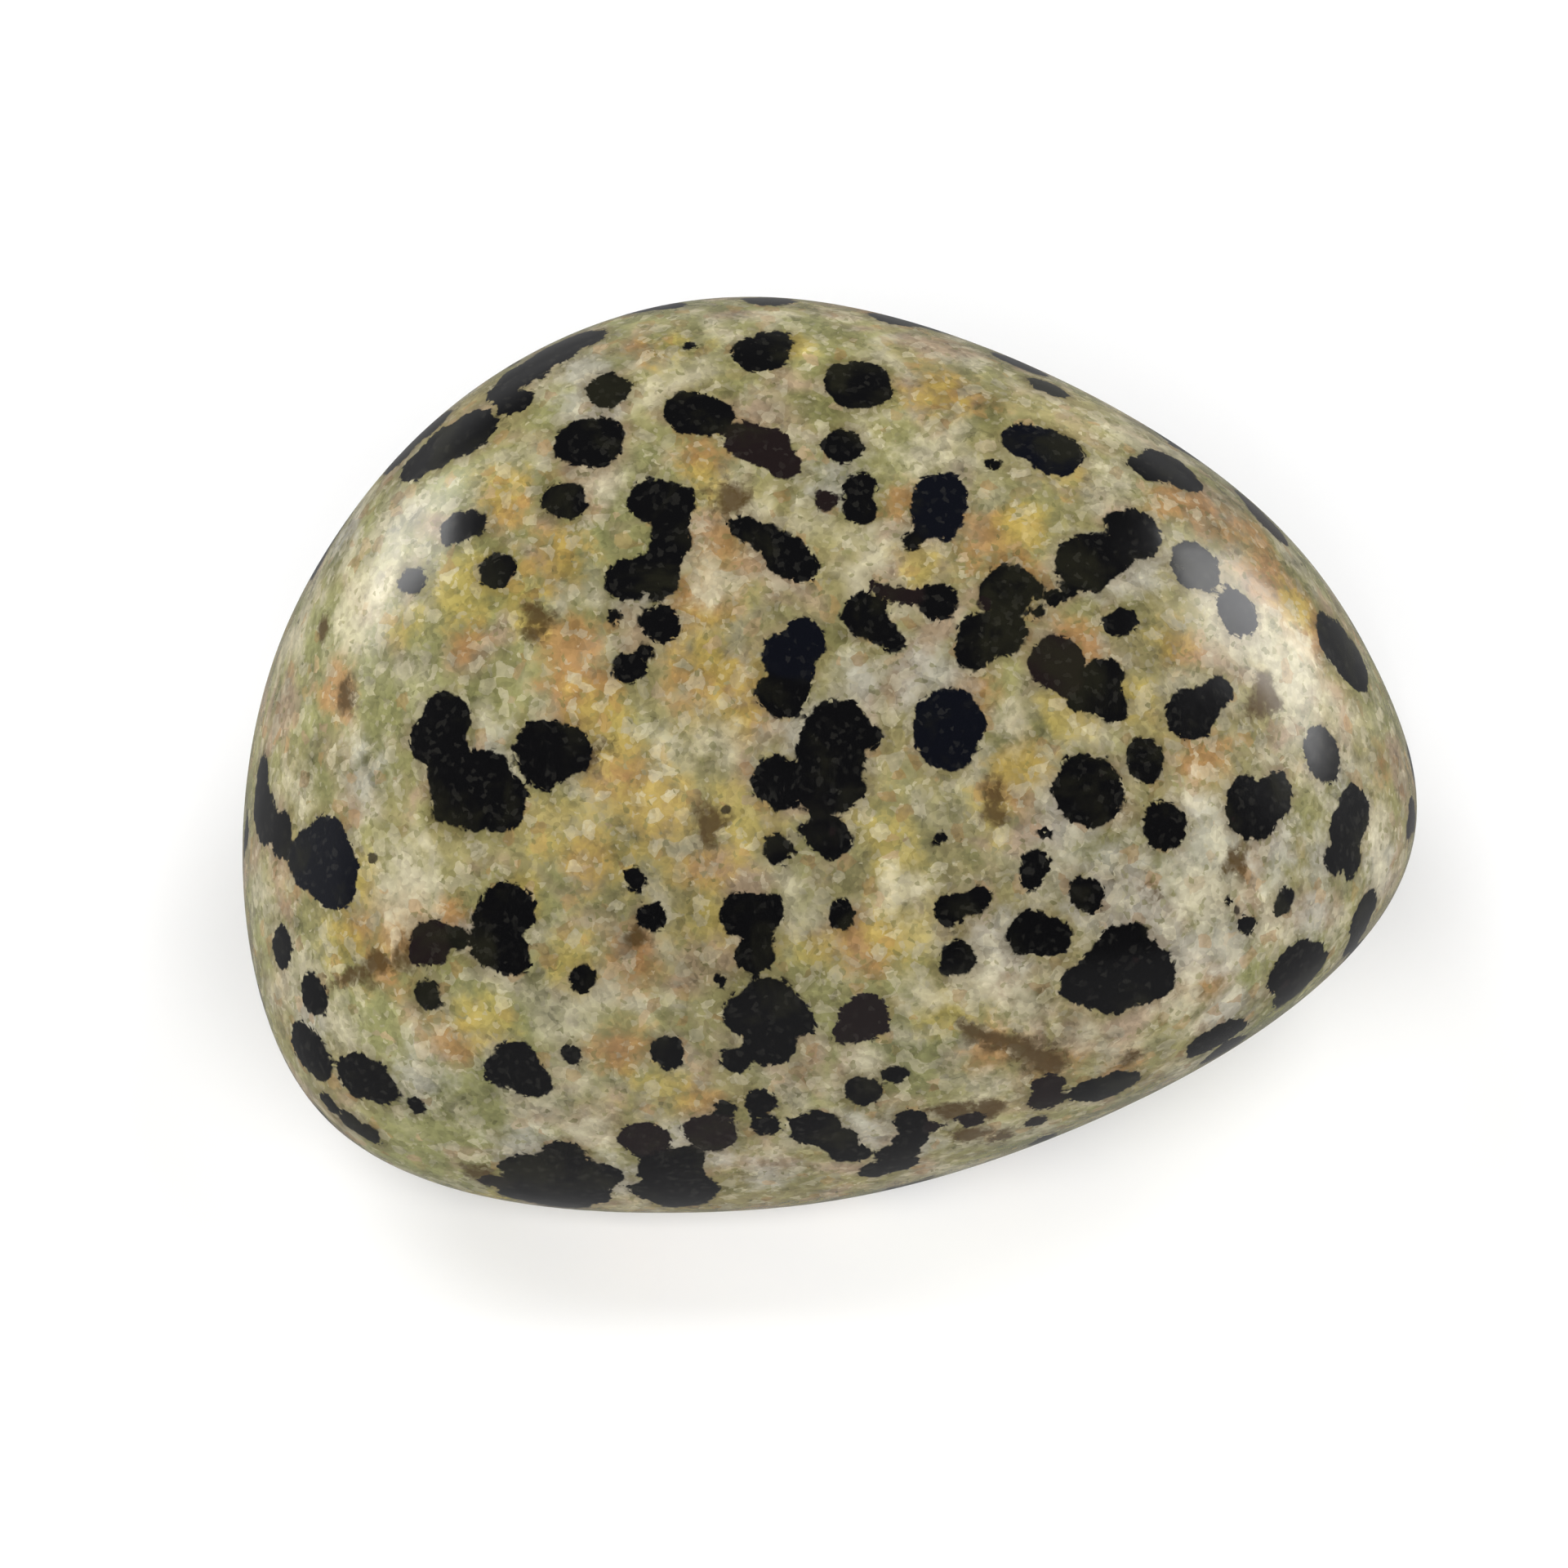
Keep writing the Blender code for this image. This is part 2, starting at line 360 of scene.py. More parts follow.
# Soft stains in the pale rock, and in the cream list also painted highlights and painted light: photo pixels
# across and down, width in mm
tanStains = [
    (789, 427, 1.8), (1157, 475, 2.8), (1200, 492, 1.8), (864, 563, 2.0), (619, 613, 2.0),
    (683, 693, 2.8), (700, 780, 2.2), (717, 853, 2.8), (864, 740, 2.8), (870, 830, 3.4),
    (905, 880, 2.0), (797, 1013, 3.2), (730, 1050, 2.4), (779, 1173, 2.6), (760, 1290, 2.2),
    (1211, 653, 3.2), (1240, 700, 1.8), (1251, 933, 2.6), (1235, 972, 2.0), (1437, 613, 2.4),
    (1500, 650, 2.6), (1550, 690, 3.0), (1584, 730, 3.2), (1610, 770, 2.4), (1468, 618, 2.2),
    (1535, 655, 2.4), (1437, 795, 2.2), (1477, 920, 2.2), (1691, 933, 1.8), (440, 1140, 2.2),
    (491, 1133, 2.6), (560, 1120, 1.8), (470, 1185, 2.0), (557, 1280, 1.8), (1056, 1155, 2.4),
    (1211, 1288, 3.0), (1290, 1300, 2.4), (1371, 1307, 1.8), (1477, 1200, 2.2), (851, 1347, 1.8),
    (411, 840, 2.0), (571, 787, 2.0), (850, 1060, 2.8), (760, 950, 2.6), (1105, 610, 1.8),
    (1190, 850, 1.8), (880, 660, 2.0), (1330, 780, 1.8),
]

yellowStains = [
    (824, 421, 2.2), (971, 421, 1.6), (1157, 480, 2.8), (611, 600, 2.0), (864, 587, 1.8),
    (560, 730, 2.8), (640, 720, 2.6), (691, 693, 2.2), (491, 773, 2.0), (877, 800, 3.0),
    (890, 880, 2.6), (784, 1040, 5.0), (680, 1000, 2.8), (860, 1120, 3.0), (1251, 640, 2.2),
    (1317, 590, 2.0), (1130, 690, 1.8), (1424, 787, 2.0), (1584, 733, 2.0), (1251, 933, 2.6),
    (1300, 880, 2.2), (1211, 1000, 2.0), (1091, 1040, 2.8), (1110, 1130, 2.8), (1157, 1240, 2.8),
    (424, 1160, 2.6), (440, 1080, 2.0), (597, 1253, 2.4), (811, 1333, 2.6), (997, 1160, 2.0),
    (640, 1100, 1.8), (900, 1000, 3.2), (740, 900, 2.8), (1400, 860, 1.8), (690, 1180, 2.4),
]

greyStains = [
    (597, 933, 2.4), (597, 1147, 2.0), (1371, 1107, 5.2), (1300, 1000, 2.8), (1480, 1050, 3.8),
    (1500, 1150, 3.2), (1230, 1150, 2.8), (1371, 693, 3.4), (997, 907, 3.0), (424, 653, 2.6),
    (784, 720, 2.0), (717, 507, 2.4), (1024, 587, 3.0), (1131, 827, 3.2), (1060, 830, 2.2),
    (720, 450, 2.2), (1060, 1390, 3.2), (850, 1400, 2.8), (450, 950, 2.6), (520, 1330, 2.6),
    (380, 1250, 2.6), (1620, 1050, 2.6), (640, 1400, 2.4), (1560, 1040, 3.2), (1650, 970, 3.0),
    (1610, 1120, 3.0), (1690, 1060, 2.6), (1510, 1235, 2.4), (760, 1440, 2.6), (950, 1440, 2.8),
    (1130, 1400, 2.4), (1440, 1160, 2.8),
]

# Cream: pale patches in the rock, together with painted highlights where the side lamps are mirrored at the
# upper left and right, and painted light that brightens the lower right and the right end
creamStainsAndPaintedLight = [
    (744, 600, 1.8), (1131, 560, 2.0), (877, 720, 1.6), (877, 907, 2.0), (1237, 893, 1.8),
    (1104, 1093, 1.8), (1477, 1093, 2.6), (491, 1093, 2.6), (371, 960, 2.2), (437, 747, 2.8),
    (1371, 587, 2.0), (1584, 840, 3.2), (1540, 780, 2.0), (560, 1360, 1.8), (420, 1260, 2.0),
    (1060, 1300, 1.8), (1130, 1220, 1.6), (720, 1380, 1.8), (1190, 1205, 2.0), (1262, 1232, 2.2),
    (1215, 1325, 2.0), (1320, 1265, 1.8), (1690, 1010, 2.0), (1612, 940, 1.8), (1684, 1080, 1.8),
    (1636, 1130, 1.8), (1556, 1135, 2.0), (1450, 1230, 1.8),
]

# The sides that the photo doesn't show get growths of the same kinds and sizes. Lengths in mm.
unseenSides = {
    "seed": 5,
    "turnedAway": 0.16,                        # growths start where the surface faces the camera by less
    "stainTurnedAway": 0.05,
    "veinTurnedAway": 0.0,
    "spots": 290,
    "tries": 12000,
    # least width, most width, share of the growths
    "widths": ((0.3, 0.55, 0.24), (0.6, 0.95, 0.26), (1.0, 1.4, 0.30), (1.4, 1.9, 0.20)),
    "tones": (0.0, 0.0, 0.0, 0.0, -1.0, 1.0),  # black, blue-black and brown-black
    "lobes": (0, 0, 1, 1, 2, 3, 5),            # further balls that a growth may have
    "lobedFrom": 0.55,                         # narrower growths stay single balls
    "lobeSizes": (0.5, 0.95),                  # share of the first ball's size
    "lobeReach": 0.6,                          # share of both balls' sizes that lies between their middles
    "gap": 0.17,                               # clear rock between growths
    "stains": 30,                              # stains of each colour
    "stainReach": (0.8, 1.8),
    "brownMarks": 16,
    "brownMarkReach": (0.15, 0.42),
    "brownVeins": 5,
    "veinSteps": (8, 18),
    "veinStep": 0.3,
    "veinReach": (0.14, 0.32),
    "veinBend": 0.5,
}


def castSpots(spots, tone, surface):           # finds where the camera's rays meet the stone
    origin = cameraPlace()
    middle = Vector(cameraLook["stoneMiddle"]) * mm
    placed = []
    for across, down, width in spots:
        ray = rayThrough(across, down)
        hit = surface.ray_cast(origin, ray)[0]
        if hit is None:                        # a spot on the very edge: the nearest surface takes it
            hit = surface.find_nearest(origin + ray * (middle - origin).dot(ray))[0]
        placed.append((hit, width * mm / 2, tone))
    return placed


def vertexPlaces(data):
    places = np.empty(len(data.vertices) * 3, np.float32)
    data.vertices.foreach_get("co", places)
    return places.reshape(-1, 3).astype(float)


def surfaceDraw(data, draw):                   # gives a random place on the surface at each call
    data.calc_loop_triangles()
    corners = np.empty(len(data.loop_triangles) * 3, np.int32)
    data.loop_triangles.foreach_get("vertices", corners)
    points = vertexPlaces(data)[corners.reshape(-1, 3)]
    sides = np.cross(points[:, 1] - points[:, 0], points[:, 2] - points[:, 0])
    areas = np.linalg.norm(sides, axis=1)
    total = np.cumsum(areas)

    def one():
        pick = int(np.searchsorted(total, draw.random() * total[-1]))
        first, second = sorted((draw.random(), draw.random()))
        a, b, c = points[pick]
        place = Vector(a * first + b * (second - first) + c * (1 - second))
        return place, Vector(sides[pick] / areas[pick])
    return one


def turnedAway(place, normal, kind="turnedAway"):
    return normal.dot((cameraPlace() - place).normalized()) < unseenSides[kind]


def randomWay(draw):
    return Vector((draw.gauss(0, 1), draw.gauss(0, 1), draw.gauss(0, 1)))


def drawWidth(draw):
    pick = draw.random()
    for least, most, share in unseenSides["widths"]:
        if pick < share:
            return draw.uniform(least, most) * mm
        pick -= share
    return most * mm


def growUnseenSpots(data, surface, placed):
    draw = random.Random(unseenSides["seed"])
    onSurface = surfaceDraw(data, draw)
    spots = list(placed)
    gap = 2 * unseenSides["gap"] * mm
    grown = 0
    tries = 0
    while grown < unseenSides["spots"] and tries < unseenSides["tries"]:
        tries += 1
        place, normal = onSurface()
        width = drawWidth(draw)
        if not turnedAway(place, normal):
            continue
        if any((place - other).length <= (width + gap) / 2 + reach for other, reach, _ in spots):
            continue
        tone = draw.choice(unseenSides["tones"])
        spots.append((place, width / 2, tone))
        lobed = width > unseenSides["lobedFrom"] * mm
        for lobe in range(draw.choice(unseenSides["lobes"]) if lobed else 0):
            side = randomWay(draw)
            side = (side - normal * side.dot(normal)).normalized()
            lobeReach = width / 2 * draw.uniform(*unseenSides["lobeSizes"])
            share = unseenSides["lobeReach"]
            nearby = surface.find_nearest(place + side * (width / 2 * share + lobeReach * share))[0]
            spots.append((nearby, lobeReach, tone))
        grown += 1
    return spots


def betweenPlaces(path, steps=3):
    filled = []
    for first, second in zip(path, path[1:]):
        for step in range(steps):
            share = step / steps
            filled.append(tuple(a * (1 - share) + b * share for a, b in zip(first, second)))
    return filled + [path[-1]]


def growUnseenBrown(onSurface, surface, draw):
    grown = []
    while len(grown) < unseenSides["brownMarks"]:
        place, normal = onSurface()
        if turnedAway(place, normal):
            grown.append((place, draw.uniform(*unseenSides["brownMarkReach"]) * mm, 0.0))
    veins = 0
    bend = unseenSides["veinBend"]
    stride = unseenSides["veinStep"]
    while veins < unseenSides["brownVeins"]:
        place, normal = onSurface()
        if not turnedAway(place, normal, "veinTurnedAway"):
            continue
        way = normal.cross(randomWay(draw)).normalized()
        for step in range(draw.randint(*unseenSides["veinSteps"])):
            grown.append((place, draw.uniform(*unseenSides["veinReach"]) * mm, 0.0))
            side = way.cross(normal) * draw.uniform(-bend, bend)
            place, normal = surface.find_nearest(place + (way + side).normalized() * stride * mm)[:2]
        veins += 1
    return grown


# Distance in mm from each place to the nearest spot's edge, with touching spots run together
def nearestSpot(places, spots, softness=0.045 * mm, batch=4000):
    middles = np.array([tuple(spot[0]) for spot in spots])
    reaches = np.array([spot[1] for spot in spots])
    tones = np.array([spot[2] for spot in spots])
    distance = np.empty(len(places))
    tone = np.empty(len(places))
    for start in range(0, len(places), batch):
        part = slice(start, start + batch)
        gaps = np.linalg.norm(places[part, None, :] - middles[None], axis=2) - reaches[None]
        least = gaps.min(axis=1)
        weights = np.exp(-(gaps - least[:, None]) / softness)
        total = weights.sum(axis=1)
        distance[part] = least - softness * np.log(total)
        tone[part] = (weights * tones[None]).sum(axis=1) / total
    return distance / mm, tone


def castStains(stains, surface, data, draw):
    places = [(spot[0], spot[1]) for spot in castSpots(stains, 0.0, surface)]
    onSurface = surfaceDraw(data, draw)
    while len(places) < len(stains) + unseenSides["stains"]:
        place, normal = onSurface()
        if turnedAway(place, normal, "stainTurnedAway"):
            places.append((place, draw.uniform(*unseenSides["stainReach"]) * mm))
    return places


def stainStrength(places, stains):             # 1 in the middle of a stain, 0 at its edge, -1 far away
    strength = np.full(len(places), -1.0)
    for middle, reach in stains:
        away = np.linalg.norm(places - np.array(tuple(middle)), axis=1)
        strength = np.maximum(strength, 1.0 - away / reach)
    return strength


def storeField(data, name, kind, values):
    field = data.attributes.new(name, kind, "POINT")
    slot = "vector" if kind == "FLOAT_VECTOR" else "value"
    field.data.foreach_set(slot, values.astype(np.float32).ravel())


def markStone(stone):
    data = stone.data
    corners = [vertex.co for vertex in data.vertices]
    surface = BVHTree.FromPolygons(corners, [tuple(face.vertices) for face in data.polygons])
    shown = castSpots(blackSpots, 0.0, surface)
    shown += castSpots(blueBlackSpots, -1.0, surface)
    shown += castSpots(brownBlackSpots, 1.0, surface)
    dark = growUnseenSpots(data, surface, shown)
    draw = random.Random(unseenSides["seed"] + 1)
    onSurface = surfaceDraw(data, draw)
    brown = castSpots(brownSpots, 0.0, surface)
    for vein in brownVeins:
        brown += castSpots(betweenPlaces(vein), 0.0, surface)
    brown += growUnseenBrown(onSurface, surface, draw)
    places = vertexPlaces(data)
    distance, tone = nearestSpot(places, dark)
    brownDistance = nearestSpot(places, brown)[0]
    storeField(data, "spotDistance", "FLOAT", distance)
    storeField(data, "spotTone", "FLOAT", tone)
    storeField(data, "brownDistance", "FLOAT", brownDistance)
    # The cream stain holds painted highlights and painted light as well as pale patches
    stains = [stainStrength(places, castStains(kind, surface, data, draw))
              for kind in (tanStains, yellowStains, greyStains, creamStainsAndPaintedLight)]
    storeField(data, "stains", "FLOAT_VECTOR", np.stack(stains[:3], axis=1))
    storeField(data, "creamStainAndPaintedLight", "FLOAT", stains[3])
    print("spots:", len(shown), "seen,", len(dark) - len(shown), "on the other sides")


# Polished rock

rockLook = {
    # linear red, green, blue
    "beige": (0.248, 0.210, 0.094, 1),
    "greenYellow": (0.208, 0.205, 0.084, 1),
    "cream": (0.41, 0.37, 0.255, 1),
    "tan": (0.28, 0.15, 0.055, 1),
    "yellow": (0.33, 0.255, 0.06, 1),
    "paleGrey": (0.31, 0.295, 0.24, 1),
    "pink": (0.30, 0.212, 0.145, 1),
    "olive": (0.15, 0.143, 0.055, 1),
    "black": (0.0032, 0.0032, 0.0036, 1),
    "blueBlack": (0.0034, 0.0039, 0.0064, 1),
    "brownBlack": (0.011, 0.0072, 0.0072, 1),
    "oliveBlack": (0.016, 0.0155, 0.0085, 1),
    "brown": (0.06, 0.035, 0.012, 1),
    # scale for each mm, detail, roughness and distortion
    "blotchNoise": (0.45, 4.0, 0.62, 0.3),
    "mottleNoise": (1.9, 3.0, 0.6),
    "wanderNoise": (1.1, 2.0, 0.5),
    "raggedNoise": (5.0, 2.0, 0.6),
    # where along its field each change of hue begins and is full
    "clouds": (0.36, 0.64),
    "hues": {"cream": (0.46, 0.66), "pink": (0.48, 0.66), "olive": (0.50, 0.70)},
    "hueStrength": 0.75,
    "stainEdge": (0.05, 0.85),
    "stainWander": (2.0, 1.4),                 # how far blotches and mottling break up a stain's outline
    "stainStrength": {"tan": 0.80, "yellow": 0.68, "paleGrey": 0.80, "cream": 0.70},
    "grainSizes": (0.34, 0.13),                # mm across the crystals, coarse and fine
    "grainBend": 0.35,                         # mm that the mottling bends their outlines
    # grain (0 coarse, 1 fine), channel, where the colour begins and is full, colour, strength
    "grainColours": (
        (0, 0, 0.76, 0.90, "cream", 0.45),
        (1, 0, 0.86, 0.95, "cream", 0.40),
        (0, 2, 0.90, 0.97, "tan", 0.40),
        (1, 2, 0.90, 0.97, "olive", 0.55),
    ),
    "shade": {"mottle": 0.9, "blotch": 1.45, "coarse": 0.27, "fine": 0.26, "middle": 0.95},
    "spotSwell": 0.018,                        # mm that every spot is wider all round than its entry
    "edgeWander": 0.26,                        # mm that a spot's edge wanders in and out
    "edgeGrain": 0.09,                         # mm of fine raggedness on it
    "raggedShare": 1.6,                        # how much rougher the ragged noise makes it
    "edgeSoftness": 0.035,                     # mm
    "haloWidth": 0.45,                         # mm of brownish rock round some spots
    "haloPatches": (0.35, 0.65),               # blotches where such rock begins and is full
    "haloStrength": 0.5,
    "brownEdge": (0.22, -0.18),                # mm outside and inside a brown mark's outline
    "brownWander": (1.3, 0.8),                 # share of a spot's wandering, and of the mottling
    "brownStrength": 0.9,
    "oliveParts": (0.50, 0.68, 0.6),           # where a spot turns olive, and how far
    "flakes": (0.80, 1.0, 0.03),               # glints of pale flakes in a spot
    "freckleScale": 0.8,                       # freckle cells for each mm
    "freckleChance": 0.84,                     # a cell with less than this has none
    "freckleReach": 0.16,                      # mm
    "freckleEdge": 0.03,                       # mm
    "freckleWander": 0.5,                      # share of the wandering of a spot's edge
    "freckleStrength": 0.85,
    "roughness": 0.21,
    "roughnessSpread": 0.12,
    "gloss": 0.40,
    "ior": 1.54,
    "bump": 0.25,
    "bumpHeight": 0.02,                        # mm
    "bumpParts": 0.5,
}


def crystals(tree, place, scale):
    cells = addNode(tree, "ShaderNodeTexVoronoi", {"Vector": place, "Scale": scale, "Randomness": 1.0})
    return addNode(tree, "ShaderNodeSeparateColor", {0: cells.outputs["Color"]}).outputs


def grey(tree, value):
    return addNode(tree, "ShaderNodeCombineColor", {0: value, 1: value, 2: value}).outputs[0]


def jasperMaterial():
    material = bpy.data.materials.new("polishedJasper")
    material.use_nodes = True
    tree = material.node_tree
    tree.nodes.clear()
    look = rockLook
    objectPlace = addNode(tree, "ShaderNodeTexCoord").outputs["Object"]
    place = addNode(tree, "ShaderNodeMapping", {"Vector": objectPlace, "Scale": (1 / mm,) * 3}).outputs[0]

    def field(name, output="Fac"):
        return addNode(tree, "ShaderNodeAttribute", attribute_name=name).outputs[output]

    def threeFields(name):
        return addNode(tree, "ShaderNodeSeparateXYZ", {0: field(name, "Vector")}).outputs

    # Pale rock: sugary grains of feldspar and quartz, in cloudy patches with soft stains, the cream one also
    # painting highlights and light
    blotch = fieldNoise(tree, place, *look["blotchNoise"]).outputs["Fac"]
    mottling = fieldNoise(tree, place, *look["mottleNoise"])
    mottle = mottling.outputs["Fac"]
    bend = (look["grainBend"],) * 3
    pushed = addNode(tree, "ShaderNodeVectorMath", {0: mottling.outputs["Color"], 1: bend, 2: place},
                     operation="MULTIPLY_ADD").outputs[0]
    grains = [crystals(tree, pushed, 1 / size) for size in look["grainSizes"]]
    coarse, fine = grains
    cloud = fade(tree, field("rockCloud"), *look["clouds"])
    rock = blendColours(tree, cloud, look["beige"], look["greenYellow"])
    for hue, (colour, (begins, full)) in zip(threeFields("rockHues"), look["hues"].items()):
        tint = fade(tree, hue, begins, full, 0.0, look["hueStrength"])
        rock = blendColours(tree, tint, rock, look[colour])
    blotchWander, mottleWander = look["stainWander"]
    wander = mathNode(tree, "ADD", spread(tree, blotch, blotchWander), spread(tree, mottle, mottleWander))
    stains = threeFields("stains")
    # The cream stain paints highlights and light as well as pale patches
    for colour, stain in (("tan", stains[0]), ("yellow", stains[1]), ("paleGrey", stains[2]),
                          ("cream", field("creamStainAndPaintedLight"))):
        strength = mathNode(tree, "ADD", stain, wander)
        tint = fade(tree, strength, *look["stainEdge"], 0.0, look["stainStrength"][colour])
        rock = blendColours(tree, tint, rock, look[colour])
    for size, channel, begins, full, colour, most in look["grainColours"]:
        tint = fade(tree, grains[size][channel], begins, full, 0.0, most)
        rock = blendColours(tree, tint, rock, look[colour])
    shade = look["shade"]
    light = mathNode(tree, "ADD", spread(tree, mottle, shade["mottle"]),
                     spread(tree, blotch, shade["blotch"]))
    light = mathNode(tree, "ADD", light, spread(tree, coarse[1], shade["coarse"]))
    light = mathNode(tree, "ADD", light, spread(tree, fine[1], shade["fine"]))
    light = mathNode(tree, "ADD", light, shade["middle"])
    rock = blendColours(tree, 1.0, rock, grey(tree, light), "MULTIPLY")

    # Spots, with a wandering and ragged edge
    wandering = fieldNoise(tree, place, *look["wanderNoise"]).outputs["Fac"]
    ragged = fieldNoise(tree, place, *look["raggedNoise"]).outputs["Fac"]
    edge = mathNode(tree, "ADD", spread(tree, wandering, look["edgeWander"] * 2),
                    spread(tree, ragged, look["edgeGrain"] * look["raggedShare"]))
    edge = mathNode(tree, "ADD", edge, spread(tree, fine[1], look["edgeGrain"]))
    distance = mathNode(tree, "ADD", field("spotDistance"), edge)
    distance = mathNode(tree, "SUBTRACT", distance, look["spotSwell"])
    halo = mathNode(tree, "MULTIPLY", fade(tree, distance, look["haloWidth"], 0.0),
                    fade(tree, blotch, *look["haloPatches"]))
    rock = blendColours(tree, mathNode(tree, "MULTIPLY", halo, look["haloStrength"]), rock, look["brown"])
    edgeShare, mottleShare = look["brownWander"]
    brownEdge = mathNode(tree, "ADD", mathNode(tree, "MULTIPLY", edge, edgeShare),
                         spread(tree, mottle, mottleShare))
    brownDistance = mathNode(tree, "ADD", field("brownDistance"), brownEdge)
    brownMask = fade(tree, brownDistance, *look["brownEdge"], 0.0, look["brownStrength"])
    rock = blendColours(tree, brownMask, rock, look["brown"])
    tone = field("spotTone")
    ink = blendColours(tree, fade(tree, tone, 0.0, 1.0), look["black"], look["brownBlack"])
    ink = blendColours(tree, fade(tree, tone, 0.0, -1.0), ink, look["blueBlack"])
    begins, full, most = look["oliveParts"]
    ink = blendColours(tree, fade(tree, blotch, begins, full, 0.0, most), ink, look["oliveBlack"])
    begins, full, most = look["flakes"]
    ink = blendColours(tree, fade(tree, fine[0], begins, full, 0.0, most), ink, look["paleGrey"])
    softness = look["edgeSoftness"]
    colour = blendColours(tree, fade(tree, distance, softness, -softness), rock, ink)

    # Freckles: specks of the same mineral, too small to be cut as spots
    scale = look["freckleScale"]
    cells = addNode(tree, "ShaderNodeTexVoronoi", {"Vector": place, "Scale": scale})
    chance = addNode(tree, "ShaderNodeSeparateColor", {0: cells.outputs["Color"]}).outputs[0]
    reach = mathNode(tree, "MULTIPLY", fade(tree, chance, look["freckleChance"], 1.0), look["freckleReach"])
    gap = mathNode(tree, "DIVIDE", cells.outputs["Distance"], scale)
    gap = mathNode(tree, "ADD", gap, mathNode(tree, "MULTIPLY", edge, look["freckleWander"]))
    gap = mathNode(tree, "SUBTRACT", gap, reach)
    softness = look["freckleEdge"]
    freckle = fade(tree, gap, softness, -softness, 0.0, look["freckleStrength"])
    colour = blendColours(tree, freckle, colour, look["brownBlack"])

    roughness = mathNode(tree, "ADD", spread(tree, mottle, look["roughnessSpread"]), look["roughness"])
    part = look["bumpParts"]
    height = mathNode(tree, "ADD", spread(tree, mottle, part), spread(tree, blotch, part))
    bump = addNode(tree, "ShaderNodeBump", {
        "Strength": look["bump"], "Distance": look["bumpHeight"] * mm, "Height": height})
    shader = addNode(tree, "ShaderNodeBsdfPrincipled", {
        "Base Color": colour, "Roughness": roughness, "IOR": look["ior"], "Specular IOR Level": look["gloss"],
        "Normal": bump.outputs[0],
    })
    addNode(tree, "ShaderNodeOutputMaterial", {"Surface": shader.outputs[0]})
    return material


jasper = jasperMaterial()
print("material ready")
stone = wornStone(jasper)
markStone(stone)
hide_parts("stone")
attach(stone, "root")
print("stone finished:", len(stone.data.polygons), "faces")


# White table and soft studio light

studio = {
    "tableSize": 3.0,                          # m
    "tableColour": (0.90, 0.90, 0.90, 1),
    "tableRoughness": 0.9,
    "tableGloss": 0.1,
    "roomDark": 0.04,                          # brightness of the room overhead and behind the camera
    "roomPale": 0.80,                          # brightness low down behind the stone
    "roomBelow": 0.50,                         # brightness under the level of the table
    "roomMirrored": 0.45,                      # share of all this that the polish mirrors
    "roomHeights": (0.75, 0.05),               # how far up its pale part begins and is full
    "roomDepths": (-0.4, 0.6),                 # the same, away from the viewer
    "roomHorizon": 0.03,                       # softness of the change at the level of the table
    # name: compass angle from the viewer, height angle, distance m, width m, height m, brightness
    "highlights": {
        "rightBox": (110, 25, 0.60, 0.27, 0.50, 4.8),
        "leftBox": (-110, 28, 0.60, 0.32, 0.40, 5.5),
    },
    "sheets": {
        "rightSheet": (110, 32, 0.70, 0.40, 0.40, 9.5),
        "leftSheet": (-110, 32, 0.70, 0.40, 0.40, 10.3),
        "frontSheet": (-3, 38, 0.90, 0.80, 0.40, 7.2),
    },
    "tableLights": {
        "rightHigh": (105, 58, 0.70, 0.40, 0.40, 3.5),
        "leftHigh": (-105, 58, 0.70, 0.40, 0.40, 4.2),
        "frontHigh": (-3, 38, 0.90, 0.80, 0.40, 9.4),
    },
    "tableSpot": {                             # a narrow beam on the table in front of the stone
        "aim": (2.5, -9.5, 0.0),               # mm
        "compass": -3,
        "height": 38,
        "distance": 0.6,                       # m
        "cone": 3.2,                           # degrees
        "softness": 0.01,                      # m
        "brightness": 0.55,
    },
}


def makeTable():
    mesh = bmesh.new()
    bmesh.ops.create_grid(mesh, x_segments=1, y_segments=1, size=studio["tableSize"] / 2)
    data = bpy.data.meshes.new("whiteTable")
    mesh.to_mesh(data)
    mesh.free()
    material = bpy.data.materials.new("whiteCard")
    material.use_nodes = True
    shader = material.node_tree.nodes["Principled BSDF"]
    shader.inputs["Base Color"].default_value = studio["tableColour"]
    shader.inputs["Roughness"].default_value = studio["tableRoughness"]
    shader.inputs["Specular IOR Level"].default_value = studio["tableGloss"]
    data.materials.append(material)
    table = bpy.data.objects.new("whiteTable", data)
    bpy.context.scene.collection.objects.link(table)
    table.visible_glossy = False               # the polish mirrors the dimmer room instead
    return table


def hangLight(data, compass, height, distance, aim=(0, 0, 0)):
    turn, rise = math.radians(compass), math.radians(height)
    way = Vector((math.sin(turn) * math.cos(rise), -math.cos(turn) * math.cos(rise), math.sin(rise)))
    light = bpy.data.objects.new(data.name, data)
    light.location = Vector(aim) * mm + way * distance
    light.rotation_mode = "QUATERNION"
    light.rotation_quaternion = way.to_track_quat("Z", "Y")
    light.visible_camera = False
    bpy.context.scene.collection.objects.link(light)
    return light


def makeLight(name, compass, height, distance, width, tall, brightness):
    data = bpy.data.lights.new(name, "AREA")
    data.shape = "RECTANGLE"
    data.size = width
    data.size_y = tall
    data.energy = brightness * math.pi * width * tall
    return hangLight(data, compass, height, distance)


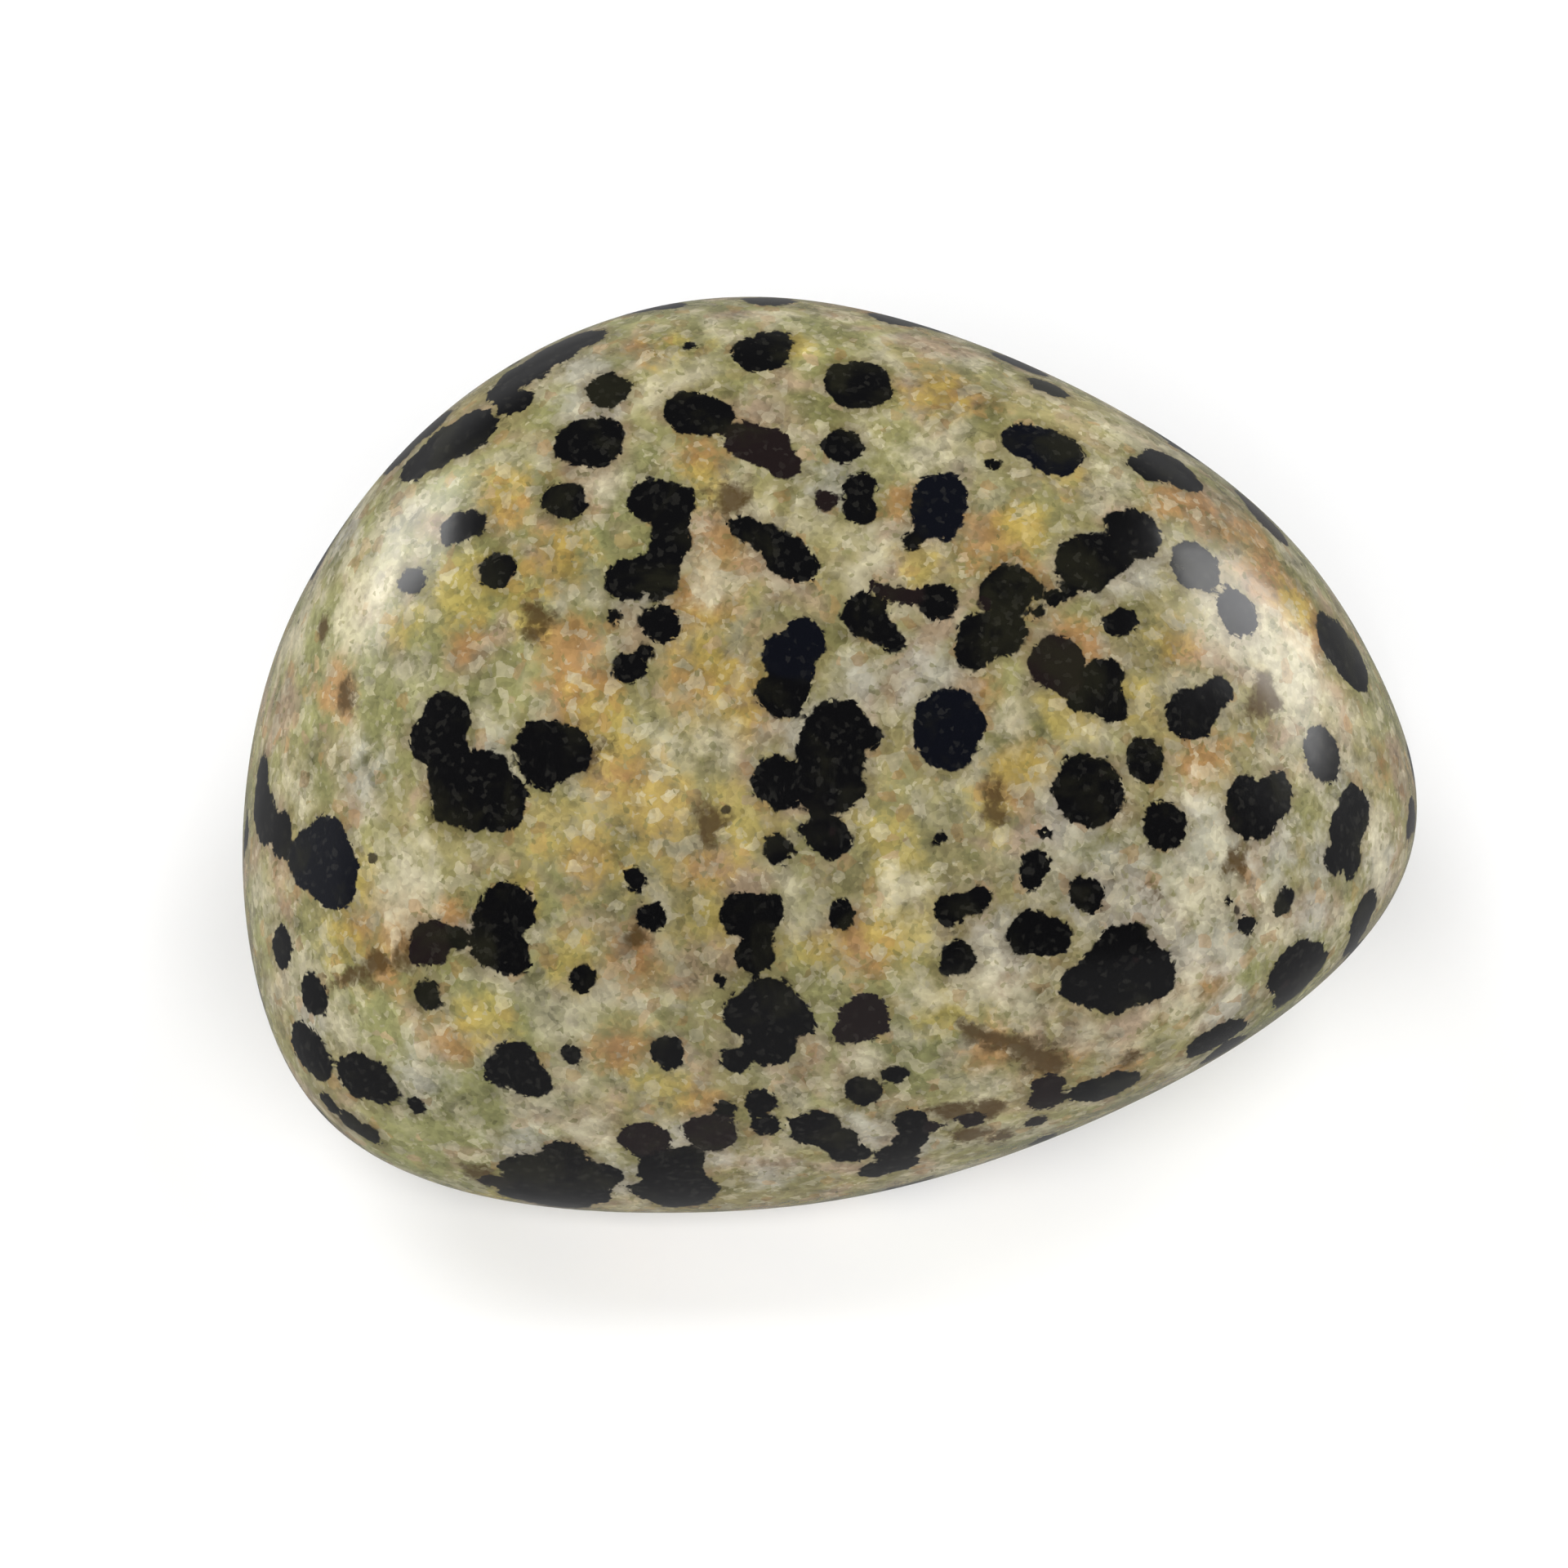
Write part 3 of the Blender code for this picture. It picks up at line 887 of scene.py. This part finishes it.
def makeTableSpot():
    spot = studio["tableSpot"]
    data = bpy.data.lights.new("tableSpot", "SPOT")
    data.spot_size = math.radians(spot["cone"])
    data.spot_blend = 1.0
    data.shadow_soft_size = spot["softness"]
    data.energy = spot["brightness"] * 4 * math.pi ** 2 * spot["distance"] ** 2
    return hangLight(data, spot["compass"], spot["height"], spot["distance"], spot["aim"])


def lightOnly(lights, piece):                  # the lights reach this piece and no other
    lit = bpy.data.collections.new(piece.name + "Lit")
    lit.objects.link(piece)
    for light in lights:
        light.light_linking.receiver_collection = lit


def makeWorld():
    world = bpy.data.worlds.new("studio")
    world.use_nodes = True
    tree = world.node_tree
    direction = addNode(tree, "ShaderNodeTexCoord").outputs["Generated"]
    way = addNode(tree, "ShaderNodeSeparateXYZ", {0: direction}).outputs
    low = fade(tree, way["Z"], *studio["roomHeights"])
    behind = fade(tree, way["Y"], *studio["roomDepths"])
    glow = mathNode(tree, "MULTIPLY", low, behind)
    brightness = fade(tree, glow, 0.0, 1.0, studio["roomDark"], studio["roomPale"])
    below = fade(tree, way["Z"], studio["roomHorizon"], -studio["roomHorizon"])
    brightness = addNode(tree, "ShaderNodeMix", {0: below, 2: brightness, 3: studio["roomBelow"]}).outputs[0]
    mirrored = addNode(tree, "ShaderNodeLightPath").outputs["Is Glossy Ray"]
    share = fade(tree, mirrored, 0.0, 1.0, 1.0, studio["roomMirrored"])
    brightness = mathNode(tree, "MULTIPLY", brightness, share)
    background = tree.nodes["Background"]
    tree.links.new(brightness, background.inputs["Strength"])
    background.inputs["Color"].default_value = (1, 1, 1, 1)
    bpy.context.scene.world = world


table = makeTable()
for name, values in studio["highlights"].items():
    makeLight(name, *values).visible_diffuse = False    # these are only mirrored in the polish
sheets = [makeLight(name, *values) for name, values in studio["sheets"].items()]
for sheet in sheets:
    sheet.visible_glossy = False
lightOnly(sheets, stone)
tableLights = [makeLight(name, *values) for name, values in studio["tableLights"].items()]
lightOnly(tableLights + [makeTableSpot()], table)
makeWorld()
bpy.context.scene.view_settings.view_transform = "Standard"
print("table and lights ready")
